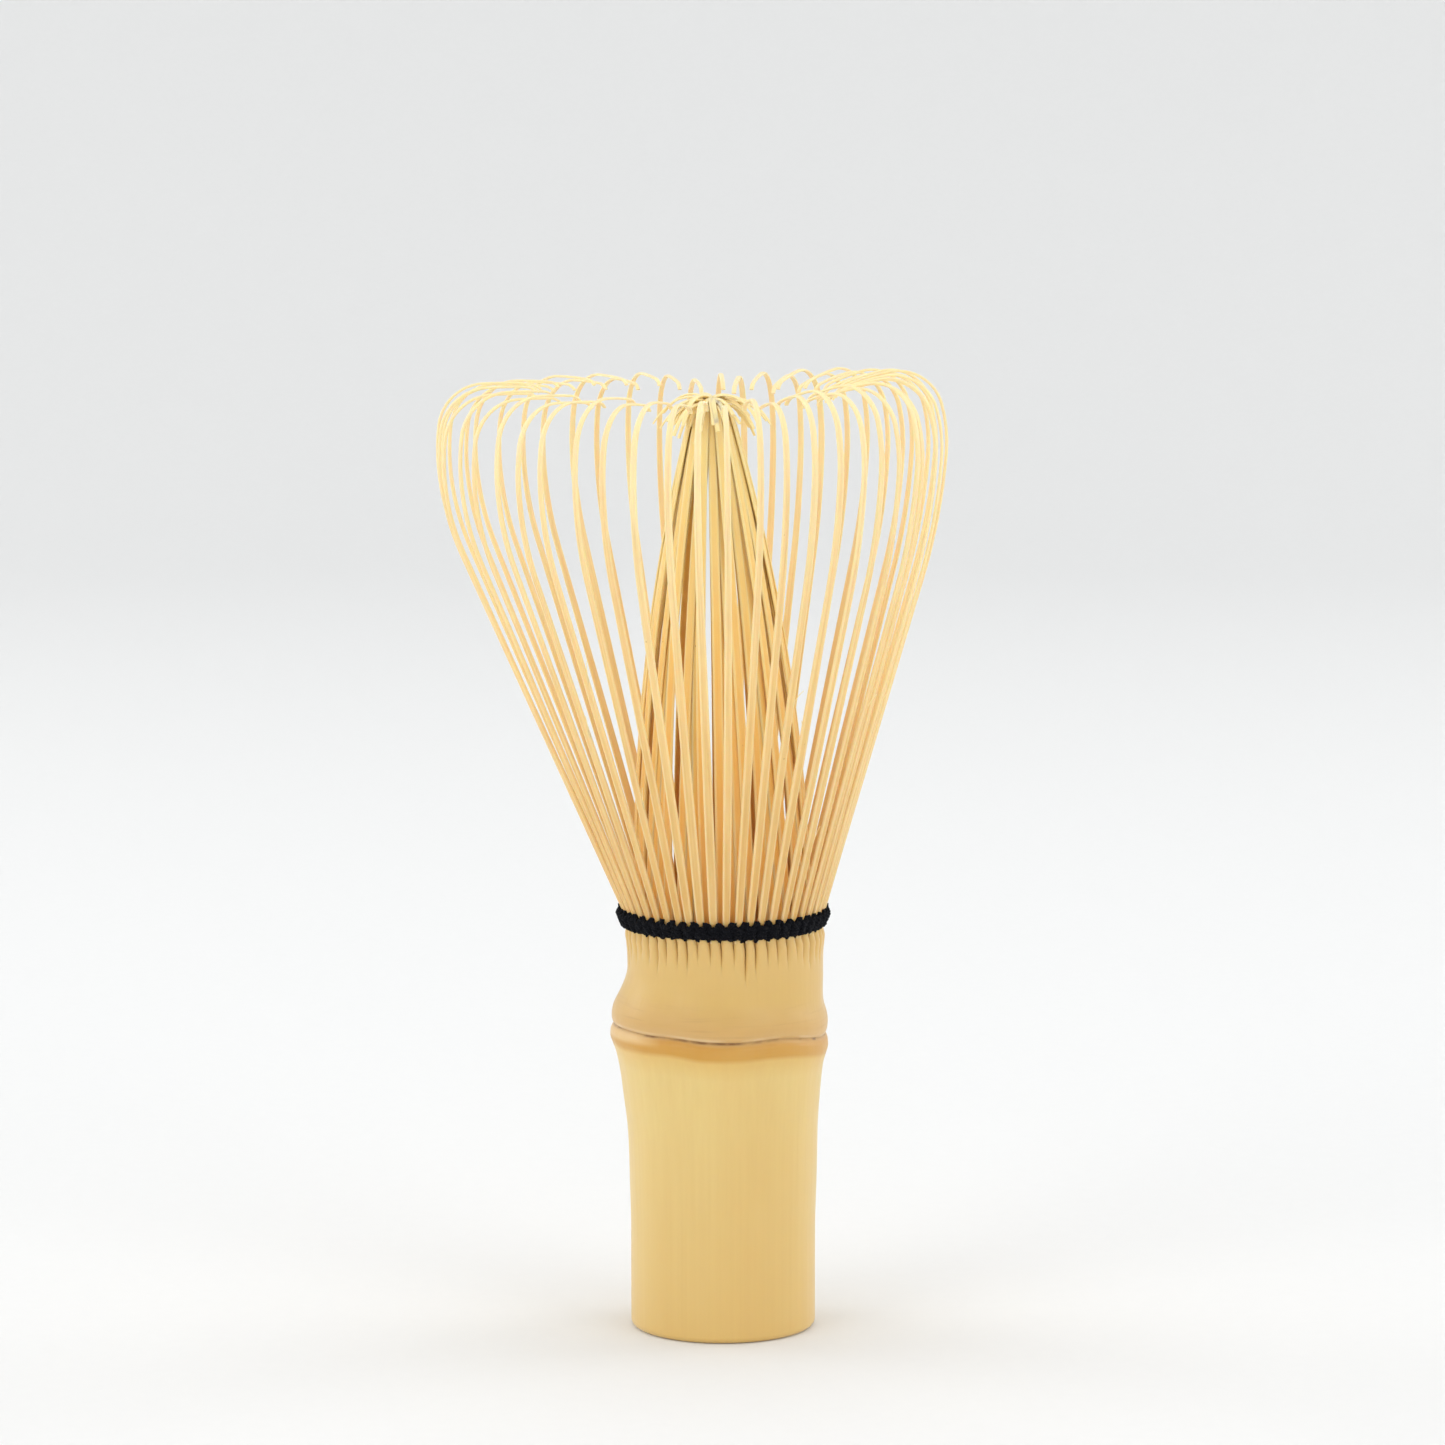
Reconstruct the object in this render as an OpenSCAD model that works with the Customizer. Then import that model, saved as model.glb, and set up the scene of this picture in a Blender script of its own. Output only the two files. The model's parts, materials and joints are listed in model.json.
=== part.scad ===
// Bamboo tea whisk: a hollow bamboo handle whose far end is split into staves, and each stave into
// thick outer tines and thin inner tines, held apart by a thread woven round their roots.
// Millimetres. +Z is up, the origin is the centre of the handle's foot, and the head leans to -X.

/* [Handle] */
// Outside diameter of the straight part of the handle
handle_d = 22.5; // [20:0.5:25]
// Diameter of the hollow inside the handle
hollow_d = 14.4; // [12:0.2:14.8]
// Height of the handle, from its foot to the node
handle_h = 34; // [28:1:45]
// Height at which the handle starts to flare towards the node
straight_h = 4; // [2:1:20]
// Radius of the eased edge round the foot
foot_edge = 0.6; // [0.3:0.1:1]

/* [Node] */
// Height of the node, with its two ridges
node_h = 7; // [6:0.5:9]
// Outside diameter over the lower ridge
node_d = 26.4; // [26:0.1:28]
// Thickness of the septum that closes the hollow
septum_t = 2; // [1.5:0.5:3]
// Diameter of the septum, which is keyed into the node
septum_d = 15.6; // [15.2:0.2:17]

/* [Head] */
// Staves that the head is first split into
staves = 13; // [10:1:13]
// Outside diameter of the collar where the slits end
waist_d = 23.7; // [23.2:0.1:24]
// Inside diameter of the collar, pared away to leave the skin
collar_bore_d = 20; // [19.6:0.1:20.2]
// Height of the collar, from the node to the slits
collar_h = 3; // [2:0.5:5]
// Height of the roots, from the slits to where the tines are free to bend
root_h = 7.9; // [7.5:0.1:9]

/* [Tines] */
// Mean splay of the outer tines from upright, in degrees
splay = 19.8; // [14:0.2:22]
// Extra splay of the outer tines on the -X side, and as much less on the +X side, in degrees
outer_lean = 4; // [0:0.5:5]
// Lean of the whole cone of inner tines to the -X side, in degrees
inner_lean = 1.4; // [0:0.1:2]
// Mean length of an outer tine's straight part
straight = 43; // [36:0.2:44]
// Width of an outer tine at its root
outer_w = 1.1; // [0.8:0.05:1.15]
// Width of an inner tine at its root
inner_w = 0.7; // [0.4:0.05:0.75]
// Thickness of a tine at its root
tine_t = 0.42; // [0.35:0.01:0.45]
// Thickness of a tine at its tip
tip_t = 0.2; // [0.15:0.01:0.25]
// Width of an outer tine at its tip
outer_tip_w = 0.55; // [0.4:0.05:0.6]
// Width of an inner tine at its tip
inner_tip_w = 0.3; // [0.2:0.05:0.3]
// Spread of the outer tines' splay, in degrees
splay_spread = 1.2; // [0:0.2:1.4]
// Spread of the outer tines' lengths
length_spread = 1; // [0:0.2:2]
// Extra length of the straight parts on the -X side, and as much less on the +X side
length_lean = 2.8; // [1:0.2:3]
// Extra length of the straight parts towards both the -X and the +X side
length_swell = 1.2; // [0:0.2:1.4]

/* [Thread] */
// Diameter of the thread
thread_d = 0.6; // [0.5:0.05:0.6]

/* [Hidden] */
TINES_PER_STAVE = 4;
stave_angle = 360 / staves;
tine_angle = stave_angle / TINES_PER_STAVE;
tines = staves * TINES_PER_STAVE;

node_z = handle_h;
collar_z = node_z + node_h;
slit_z = collar_z + collar_h;
hinge_z = slit_z + root_h;
// The thread's band ends just under the hinge line
band_top = hinge_z - 0.28;
thread_turns = 4;
thread_pitch = 1.1 * thread_d;
thread_gap = 0.02;
// Rounds of thread in the gap between the outer and the inner roots
weave_turns = 2;
weave_r = 11.34;
weave_z = band_top - 2.2;
weave_pitch = 1.25 * thread_d;

// How late the handle's flare turns outwards
flare_sharpness = 3.8;

// Radii of the roots' outer faces, at the slits and at the hinge line
outer_root_r = waist_d / 2;
outer_hinge_r = 12.75;
inner_root_r = outer_root_r - 0.87;
inner_hinge_r = 10.85;
// Thickness of a root at the slits
root_t = 0.8;
// The outer roots run straight up the collar and turn outwards under the thread
root_bend_r = outer_root_r + 0.05;
root_bend_z = hinge_z - 3.9;
root_slope = (outer_hinge_r - root_bend_r) / (hinge_z - root_bend_z);
// How far the collar stands out where it meets the node
collar_flare = 0.5;
// Free space under a tine, so that it can turn on its hinge line
hinge_gap = 0.2;

// A bent strip is a list of arcs: [length, turn towards the axis in degrees, steps]. After its
// straight part an outer tine curls in sharply on the -X side and more slowly on the +X side
sharp_curl = [[10.3, 20, 3], [4.8, 11, 2], [8.2, 80, 6], [4.6, 5, 1], [1.5, 48, 3]];
slow_curl = [[15, 12, 3], [6, 20, 2], [8.2, 86, 6], [4.6, 10, 1], [1.5, 45, 3]];
// The four inner tines of a stave end in four layers round the axis, the tallest innermost
inner_top_r = [1.9, 0.9, 1.4, 2.4];
inner_top_z = [61.2, 62.4, 61.8, 60.6];
// Half of the angle through which an inner tine bends on its way up
inner_bow = 6.5;

handle_colour = [0.88, 0.77, 0.50];
node_colour = [0.80, 0.63, 0.36];
collar_colour = [0.86, 0.73, 0.47];
tine_colour = [0.94, 0.83, 0.58];
thread_colour = [0.09, 0.09, 0.10];

function two_digits(n) = n < 10 ? str("0", n) : str(n);
function stave_nodes(kind) = [for (s = [1 : staves]) str(kind, "_tines_", two_digits(s))];

// Even but unordered spread of n over -0.5 to 0.5, so that no two neighbours are alike
function uneven(n, stride) = ((n * stride) % tines) / tines - 0.5;

// Azimuth of outer tine i of a stave, from the stave's middle
function outer_azimuth(i) = (i - (TINES_PER_STAVE - 1) / 2) * tine_angle;

// Points of a bent strip's middle line, each [radius, height, heading from upright]
function walk(at, heading, steps, i = 0) =
    i == len(steps) ? [[at[0], at[1], heading]] :
    let (
        mid = heading - steps[i][1] / 2,
        next = at + steps[i][0] * [sin(mid), cos(mid)]
    )
    concat([[at[0], at[1], heading]], walk(next, heading - steps[i][1], steps, i + 1));

function steps_of(arcs) = [for (a = arcs) for (k = [1 : a[2]]) [a[0] / a[2], a[1] / a[2]]];

// Side outline of a strip that thins from its root to its tip
function strip_outline(line) =
    let (
        last = len(line) - 1,
        half = [for (i = [0 : last]) (tine_t + (tip_t - tine_t) * i / last) / 2],
        outward = [for (p = line) [cos(p[2]), -sin(p[2])]],
        middle = [for (p = line) [p[0], p[1]]]
    )
    concat(
        [for (i = [0 : last]) middle[i] + half[i] * outward[i]],
        [for (i = [last : -1 : 0]) middle[i] - half[i] * outward[i]]
    );

// A strip in the XZ plane, whose width narrows evenly with height from root_w to tip_w
module strip(line, root_w, tip_w) {
    top = max([for (p = line) p[1]]) + 1;
    reach = max([for (p = line) p[0]]) + 1;
    foot = line[0][1] - 1;
    intersection() {
        rotate([90, 0, 0])
            linear_extrude(height = root_w + 0.2, center = true)
                polygon(strip_outline(line));
        rotate([90, 0, 90])
            linear_extrude(height = reach)
                polygon([[-root_w / 2, foot], [root_w / 2, foot], [tip_w / 2, top], [-tip_w / 2, top]]);
    }
}

// Radius of the handle's outside at a height: straight, then a flare into the node
function handle_r(z) =
    let (rise = max(0, z - straight_h) / (handle_h - straight_h))
    handle_d / 2 + (node_d / 2 - 0.3 - handle_d / 2) * pow(rise, flare_sharpness);

module handle() {
    flare_steps = 10;
    flare = [for (i = [0 : flare_steps])
        let (z = straight_h + (handle_h - straight_h) * i / flare_steps) [handle_r(z), z]];
    edge = [for (a = [-90 : 30 : 0])
        [handle_d / 2 - foot_edge + foot_edge * cos(a), foot_edge + foot_edge * sin(a)]];
    color(handle_colour)
        rotate_extrude($fn = 96)
            polygon(concat([[hollow_d / 2, 0]], edge, flare, [[hollow_d / 2, handle_h]]));
}

module node_ring() {
    r = node_d / 2;
    outside = [
        [r - 0.3, 0], [r - 0.08, 0.8], [r, 1.5], [r - 0.06, 2.1], [r - 0.3, 2.7], [r - 0.2, 3.1],
        [r - 0.1, 3.9], [r - 0.16, 4.6], [r - 0.36, 5.4], [r - 0.6, 6.2], [outer_root_r + collar_flare, node_h]
    ];
    inside = [[collar_bore_d / 2, node_h], [septum_d / 2, septum_t], [septum_d / 2, 0]];
    color(node_colour)
        translate([0, 0, node_z])
            rotate_extrude($fn = 96)
                polygon(concat(outside, inside));
}

module septum() {
    color(node_colour)
        translate([0, 0, node_z])
            cylinder(d = septum_d, h = septum_t, $fn = 96);
}

module collar() {
    r = outer_root_r;
    color(collar_colour)
        translate([0, 0, collar_z])
            rotate_extrude($fn = 96)
                polygon([
                    [collar_bore_d / 2, 0], [r + collar_flare, 0], [r + 0.26, collar_h / 3],
                    [r + 0.1, collar_h * 2 / 3], [r + 0.02, collar_h], [collar_bore_d / 2, collar_h]
                ]);
}

// A root is a fixed finger between the collar and its tine's hinge line
module root(width, outline) {
    rotate([90, 0, 0])
        linear_extrude(height = width, center = true)
            polygon(outline);
}

module outer_tine_roots() {
    outline = [
        [outer_root_r, slit_z], [root_bend_r, root_bend_z], [outer_hinge_r, hinge_z],
        [outer_hinge_r - tine_t, hinge_z], [root_bend_r - root_t * 0.6, root_bend_z],
        [outer_root_r - root_t, slit_z]
    ];
    color(collar_colour)
        for (i = [0 : tines - 1])
            rotate([0, 0, (i + 0.5) * tine_angle])
                root(outer_w, outline);
}

module inner_tine_roots() {
    outline = [
        [inner_root_r, slit_z], [inner_hinge_r, hinge_z], [inner_hinge_r - tine_t, hinge_z],
        [inner_root_r - root_t, slit_z]
    ];
    color(collar_colour)
        for (i = [0 : tines - 1])
            rotate([0, 0, (i + 0.5) * tine_angle])
                root(inner_w, outline);
}

// Outer tines of stave s, from 1. Each tine has its own splay and length
module outer_tines(s) {
    foot = [outer_hinge_r - tine_t / 2, hinge_z + hinge_gap];
    color(tine_colour)
        for (i = [0 : TINES_PER_STAVE - 1]) {
            n = (s - 1) * TINES_PER_STAVE + i;
            azimuth = (s - 1) * stave_angle + outer_azimuth(i);
            heading = splay - outer_lean * cos(azimuth) + splay_spread * uneven(n, 19);
            length = straight - length_lean * cos(azimuth) + length_swell * cos(azimuth) ^ 2
                + length_spread * uneven(n, 23);
            slowness = (1 + cos(azimuth)) / 2;
            curl = [for (k = [0 : len(slow_curl) - 1]) sharp_curl[k] + slowness * (slow_curl[k] - sharp_curl[k])];
            rotate([0, 0, azimuth])
                strip(walk(foot, heading, steps_of(concat([[length, 0, 2]], curl))), outer_w, outer_tip_w);
        }
}

// Inner tines of stave s, from 1, which gather in towards the axis
module inner_tines(s) {
    foot = [inner_hinge_r - tine_t / 2, hinge_z + hinge_gap];
    color(tine_colour)
        for (i = [0 : TINES_PER_STAVE - 1]) {
            azimuth = (s - 1) * stave_angle + outer_azimuth(i);
            across = foot[0] - inner_top_r[i];
            lean_in = atan(across / inner_top_z[i]);
            arc = norm([across, inner_top_z[i]]) * inner_bow * PI / 180 / sin(inner_bow);
            line = walk(foot, inner_bow - lean_in, steps_of([[arc, 2 * inner_bow, 8]]));
            at = [foot[0] * cos(azimuth), foot[0] * sin(azimuth), foot[1]];
            translate(at)
                rotate([0, -inner_lean, 0])
                    translate(-at)
                        rotate([0, 0, azimuth])
                            strip(line, inner_w, inner_tip_w);
        }
}

// One round of thread
module thread_ring(r, z) {
    color(thread_colour)
        translate([0, 0, z])
            rotate_extrude($fn = 96)
                translate([r, 0])
                    circle(d = thread_d, $fn = 24);
}

// Turn t of the thread, from 1 at the bottom, lying on the outer roots' faces
module thread_turn(t) {
    z = band_top - thread_d / 2 - (thread_turns - t) * thread_pitch;
    face_r = root_bend_r + root_slope * (z - root_bend_z);
    thread_ring(face_r + thread_d / 2 * norm([1, root_slope]) + thread_gap, z);
}

// Round t of the thread between the outer and the inner roots, from 1 at the bottom
module thread_weave(t) {
    thread_ring(weave_r, weave_z + (t - 1) * weave_pitch);
}

// Knot between the roots at the back, with its two cut ends
module thread_knot() {
    knot_d = 1.5 * thread_d;
    end_d = 0.75 * thread_d;
    end_angle = 14;
    color(thread_colour)
        translate([0, 0, weave_z + weave_turns * weave_pitch + 0.07])
            rotate([0, 0, 90]) {
                translate([weave_r, 0, 0])
                    sphere(d = knot_d, $fn = 32);
                rotate([0, 0, -end_angle / 2])
                    rotate_extrude(angle = end_angle, $fn = 96)
                        translate([weave_r, 0])
                            circle(d = end_d, $fn = 24);
            }
}

handle();
node_ring();
septum();
collar();
outer_tine_roots();
inner_tine_roots();
for (t = [1 : thread_turns])
    thread_turn(t);
for (t = [1 : weave_turns])
    thread_weave(t);
thread_knot();
for (s = [1 : staves]) {
    outer_tines(s);
    inner_tines(s);
}
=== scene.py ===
"""Looks of the bamboo tea whisk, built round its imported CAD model.

Lengths that belong to the shape are written in millimetres, and MM turns them into metres where a mesh is
made. Azimuths run round +Z from +X. The culm is one grown surface with its node, its two ridges and its slit
collar. Each stave's tines are bent strips that start in the collar and bend over the stave's hinge line. The
thread is laid as twisted strands.
"""
import bisect
import json
import math
import random

import bmesh
import bpy
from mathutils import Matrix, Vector, noise


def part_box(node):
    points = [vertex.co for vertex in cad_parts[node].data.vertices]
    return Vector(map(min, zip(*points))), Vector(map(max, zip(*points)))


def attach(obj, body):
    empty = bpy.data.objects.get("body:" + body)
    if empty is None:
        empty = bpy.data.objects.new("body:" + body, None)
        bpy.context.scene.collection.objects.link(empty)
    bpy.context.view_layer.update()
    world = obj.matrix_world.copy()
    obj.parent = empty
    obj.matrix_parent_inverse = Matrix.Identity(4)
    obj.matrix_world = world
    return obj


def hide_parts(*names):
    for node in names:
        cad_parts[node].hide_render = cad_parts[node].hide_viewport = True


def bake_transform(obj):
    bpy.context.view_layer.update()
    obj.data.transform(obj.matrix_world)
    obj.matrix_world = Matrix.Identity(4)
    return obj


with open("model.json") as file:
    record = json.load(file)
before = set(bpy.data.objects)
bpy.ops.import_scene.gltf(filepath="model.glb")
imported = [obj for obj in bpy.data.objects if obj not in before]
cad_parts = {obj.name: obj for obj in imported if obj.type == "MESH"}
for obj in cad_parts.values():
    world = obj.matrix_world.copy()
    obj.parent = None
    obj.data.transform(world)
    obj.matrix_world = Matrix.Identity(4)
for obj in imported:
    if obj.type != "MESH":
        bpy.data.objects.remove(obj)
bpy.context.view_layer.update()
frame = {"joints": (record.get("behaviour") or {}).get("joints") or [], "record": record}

MM = 0.001
DICE = random.Random(52)

# From the frame: heights and radii in millimetres, and the joints and the septum's box as they are
HANDLE_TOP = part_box("handle")[1].z / MM
HOLLOW_R = frame["record"]["mounts"][0]["dims"]["r_mm"]
SEPTUM_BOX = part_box("septum")
ROOT_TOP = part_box("outer_tine_roots")[1].z / MM
OUTER_JOINTS = [j for j in frame["joints"] if j["name"].startswith("outer")]
INNER_JOINTS = [j for j in frame["joints"] if j["name"].startswith("inner")]
# Where the first tines leave their roots, (radius, height)
OUTER_FOOT = (OUTER_JOINTS[0]["pos_m"][0] / MM, OUTER_JOINTS[0]["pos_m"][2] / MM)
INNER_FOOT = (INNER_JOINTS[0]["pos_m"][0] / MM, INNER_JOINTS[0]["pos_m"][2] / MM)

# How the culm is split
STAVES = len(OUTER_JOINTS)
TINES_PER_STAVE = 4
TINES = STAVES * TINES_PER_STAVE
PITCH = 2 * math.pi / TINES
# The real culm was split a little off its middle line
SPLIT_PHASE = math.radians(-2.1)

# Radius of the eased edge round the foot, and of the one round the bore's mouth
FOOT_EDGE = 0.8
BORE_EDGE = 0.25
# How far the septum is dished on its lower side
SEPTUM_DISH = 0.5

# Outline of the culm's skin, (height, radius): the handle up to the node's groove, and the head above it
GROOVE_Z = 36.85
GROOVE_R = 12.74
HANDLE_SKIN = [
    (0, 11.25), (12, 11.25), (18, 11.4), (24, 11.55), (29, 12.0), (31.5, 12.3), (33.4, 12.65), (34.6, 13.05),
    (35.4, 13.26), (36, 13.22), (36.45, 13.05), (36.72, 12.85), (GROOVE_Z, GROOVE_R),
]
HEAD_SKIN = [
    (GROOVE_Z, GROOVE_R), (36.93, 12.78), (37.1, 12.96), (37.6, 13.12), (38.2, 13.14), (39, 13.02),
    (39.7, 12.78), (40.4, 12.5), (41.4, 12.24), (43, 12.0), (44.5, 11.88), (46, 11.9), (47.5, 12.02),
    (48.5, 12.15), (ROOT_TOP, 12.72),
]
# Inside of the head: the funnel above the septum, the pared collar and the backs of the fingers
HEAD_INSIDE = [
    (GROOVE_Z, 8.2), (41, 10), (43.6, 10), (44.8, 11.0), (47.5, 11.3), (48.5, 11.55), (ROOT_TOP, 12.28),
]
# How far the crooked culm's middle wanders to +X, by height
CULM_WANDER = [(0, 0), (20, 0), (30, -0.25), (36, -0.5), (40, -0.3), (44.5, 0.25), (47.5, 0.25), (51, 0)]
# The node slopes, higher on the -X side, and all of it is a little raised
NODE_TILT = 0.05
NODE_LIFT = 0.25
# Heights over which its slope and its lumps fade in and out again
NODE_START = (27, 34)
NODE_END = (39.5, 44.5)
# Lumps of the node: (azimuth, half width in degrees, rise)
NODE_LUMPS = [(-115, 14, 0.25), (-55, 20, 0.6), (-12, 14, -0.3)]
# The girth's departures from a circle, as shares of the radius
GIRTH_SPREAD = 0.004

# The slits: the mean height at which they run out, half of their width where the roots end, and how much
# further one in thirteen runs down
SLIT_FOOT = 46.3
SLIT_HALF_WIDTH = 0.33
LONG_SLIT = 1.5
# The fingers between the slits end inside the thread's band
FINGER_TOP = 49.6
# Columns of a finger's faces, by share of its half width
FINGER_COLUMNS = (-1, -0.95, -0.86, -0.7, -0.4, 0, 0.4, 0.7, 0.86, 0.95, 1)
# How far a finger's edges are rounded back
FINGER_ROUND = 0.5
# How far the pulled thread presses the outer roots inwards
PINCH = 0.2

# Outer tines: splay in degrees and lengths, close to those of the CAD tines
SPLAY = 20.1
OUTER_LEAN = 4
SPLAY_SPREAD = 1.2
STRAIGHT = 43
LENGTH_LEAN = -2.8
LENGTH_SWELL = 1.2
LENGTH_SPREAD = 1
# After its straight part a tine turns inwards: (length, turn in degrees, steps), on the -X and the +X side
CURL_LOW_SIDE = [(10.3, 20, 8), (4.8, 11, 4), (8.2, 80, 16), (4.6, 5, 4), (1.5, 48, 6)]
CURL_HIGH_SIDE = [(15, 12, 8), (6, 20, 4), (8.2, 86, 16), (4.6, 10, 4), (1.5, 45, 6)]
# Width of an outer tine, by share of its points, and its thickness at its root and its tip
OUTER_W = [
    (0, 0.84), (0.06, 0.84), (0.087, 0.92), (0.12, 1.02), (0.18, 1.05), (0.35, 0.94), (0.55, 0.77),
    (0.8, 0.61), (1, 0.52),
]
OUTER_T = (0.5, 0.24)
# Length of an outer and of an inner tine's root under the hinge
OUTER_ROOT = 3.0
INNER_ROOT = 7.4
# Share of the outer tines with a lifted hair of bamboo, and how far along the grain a hair starts
SLIVER_SHARE = 0.28
SLIVER_ALONG = 70

# Inner tines: four layers round the axis in each stave, (radius, height above the foot, bow in degrees)
INNER_LAYERS = [(1.9, 60.6, 7.1), (0.9, 61.4, 6.5), (1.4, 61, 6.8), (2.4, 60.2, 7.9)]
# Greatest height of their curls above the foot, and the lean of their cone to -X in degrees
INNER_APEX = 61.9
INNER_LEAN = 1.4
INNER_W = [(0, 1.25), (0.55, 1.08), (0.75, 0.85), (0.85, 0.66), (1, 0.52)]
INNER_T = (0.4, 0.2)
# How far the four tines gather towards their stave's middle, and how much that differs between staves
GATHER = 0.14
GATHER_SPREAD = 0.05


# ---------------------------------------------------------------- curves and small sums

def smoothstep(low, high, value):
    t = min(1, max(0, (value - low) / (high - low)))
    return t * t * (3 - 2 * t)


def lerp(pair, t):
    return pair[0] + (pair[1] - pair[0]) * t


def slope(points, i):
    """Slope of a curve at its point i, level where the curve turns, so that it never overshoots."""
    if i in (0, len(points) - 1):
        return 0
    before = (points[i][1] - points[i - 1][1]) / (points[i][0] - points[i - 1][0])
    after = (points[i + 1][1] - points[i][1]) / (points[i + 1][0] - points[i][0])
    if before * after <= 0:
        return 0
    return 2 * before * after / (before + after)


def curve(points, at):
    """Reads a smooth curve through (place, value) points, held level beyond its ends."""
    places = [p[0] for p in points]
    if at <= places[0]:
        return points[0][1]
    if at >= places[-1]:
        return points[-1][1]
    i = bisect.bisect_right(places, at) - 1
    (a, low), (b, high) = points[i], points[i + 1]
    t = (at - a) / (b - a)
    leave = slope(points, i) * (b - a)
    arrive = slope(points, i + 1) * (b - a)
    hump = t * (1 - t)
    return low + (high - low) * t * t * (3 - 2 * t) + hump * ((1 - t) * leave - t * arrive)


def steps(start, end, size):
    """Even places from start towards end, without the end itself."""
    count = max(1, round((end - start) / size))
    return [start + (end - start) * k / count for k in range(count)]


def uneven(n, stride):
    """The frame's own spread over -0.5 to 0.5, so that a tine here leans as its CAD tine does."""
    return (n * stride) % TINES / TINES - 0.5


# ---------------------------------------------------------------- meshes

class Shape:
    """Vertices, faces and grain coordinates gathered for one piece."""

    def __init__(self):
        self.vertices = []
        self.faces = []
        self.slots = []
        self.grain = []
        self.bare_and_highlight = []

    def vertex(self, point, grain=(0, 0, 0), bare_and_highlight=0):
        """Adds a point in millimetres, with its place in the grain and a share for pared, skinless edges
        that also paints a highlight on them.
        """
        self.vertices.append(tuple(c * MM for c in point))
        self.grain.append(grain)
        self.bare_and_highlight.append(bare_and_highlight)
        return len(self.vertices) - 1

    def face(self, corners, slot=0):
        self.faces.append(tuple(corners))
        self.slots.append(slot)

    def tube(self, rings, slot=0, closed=False):
        """Skins a row of equal rings of vertices, capped at both ends unless it closes on itself."""
        around = len(rings[0])
        pairs = list(zip(rings, rings[1:]))
        if closed:
            pairs.append((rings[-1], rings[0]))
        for a, b in pairs:
            for k in range(around):
                n = (k + 1) % around
                self.face((a[k], a[n], b[n], b[k]), slot)
        if not closed:
            self.face(rings[0][::-1], slot)
            self.face(rings[-1], slot)

    def build(self, name, materials, sharp_angle=40):
        """Makes the object, smooth except along edges sharper than the angle."""
        mesh = bpy.data.meshes.new(name)
        mesh.from_pydata(self.vertices, [], self.faces)
        for material in materials:
            mesh.materials.append(material)
        mesh.polygons.foreach_set("material_index", self.slots)
        store = mesh.attributes.new("grain", "FLOAT_VECTOR", "POINT")
        store.data.foreach_set("vector", [c for g in self.grain for c in g])
        store = mesh.attributes.new("bare_and_highlight", "FLOAT", "POINT")
        store.data.foreach_set("value", self.bare_and_highlight)
        finish_mesh(mesh, math.radians(sharp_angle))
        piece = bpy.data.objects.new(name, mesh)
        bpy.context.scene.collection.objects.link(piece)
        return piece


def finish_mesh(mesh, sharp_angle):
    """Welds coincident points, turns the faces outwards and marks the sharp edges."""
    work = bmesh.new()
    work.from_mesh(mesh)
    bmesh.ops.remove_doubles(work, verts=work.verts, dist=1e-7)
    bmesh.ops.dissolve_degenerate(work, edges=work.edges, dist=1e-7)
    bmesh.ops.recalc_face_normals(work, faces=work.faces)
    for face in work.faces:
        face.smooth = True
    for edge in work.edges:
        edge.smooth = edge.calc_face_angle(0) < sharp_angle
    work.to_mesh(mesh)
    work.free()


# ---------------------------------------------------------------- the culm

def near_node(height):
    """One at the node's ridges, falling to nothing along the handle and the collar."""
    return smoothstep(*NODE_START, height) * (1 - smoothstep(*NODE_END, height))


def node_lift(angle):
    """How far the node stands above a level ring at each azimuth: it isn't quite a plane curve."""
    lift = NODE_LIFT
    for azimuth, width, rise in NODE_LUMPS:
        off = (math.degrees(angle) - azimuth + 180) % 360 - 180
        lift += rise * math.exp(-((off / width) ** 2))
    return lift


def culm_point(radius, angle, height):
    """A point of the culm, with its crooked middle, its sloping node and its slightly uneven girth."""
    x = radius * math.cos(angle)
    y = radius * math.sin(angle)
    node = near_node(height)
    dents = noise.noise(Vector((x, y, height * 0.4)) * 0.12)
    girth = 1 + GIRTH_SPREAD * math.cos(2 * angle - 1) + GIRTH_SPREAD * dents
    wave = 0.3 * noise.noise(Vector((x * 0.11, y * 0.11, 5)))
    return (
        x * girth + curve(CULM_WANDER, height),
        y * girth,
        height + node * (wave - NODE_TILT * x + node_lift(angle)),
    )


def lathe(shape, outline, columns, slots=None):
    """Turns a closed outline of (radius, height) into a solid of the culm."""
    rings = []
    for radius, height in outline:
        ring = []
        for k in range(columns):
            angle = 2 * math.pi * k / columns
            ring.append(shape.vertex(culm_point(radius, angle, height), (angle * radius, height, 0)))
        rings.append(ring)
    for i, ring in enumerate(rings):
        after = rings[(i + 1) % len(rings)]
        for k in range(columns):
            n = (k + 1) % columns
            shape.face((ring[k], ring[n], after[n], after[k]), slots[i] if slots else 0)


def foot_edge():
    """The eased edge round the foot."""
    radius = curve(HANDLE_SKIN, 0)
    turns = [math.radians(a) for a in (-90, -65, -45, -25, -8)]
    return [(radius - FOOT_EDGE * (1 - math.cos(a)), FOOT_EDGE * (1 + math.sin(a))) for a in turns]


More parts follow.
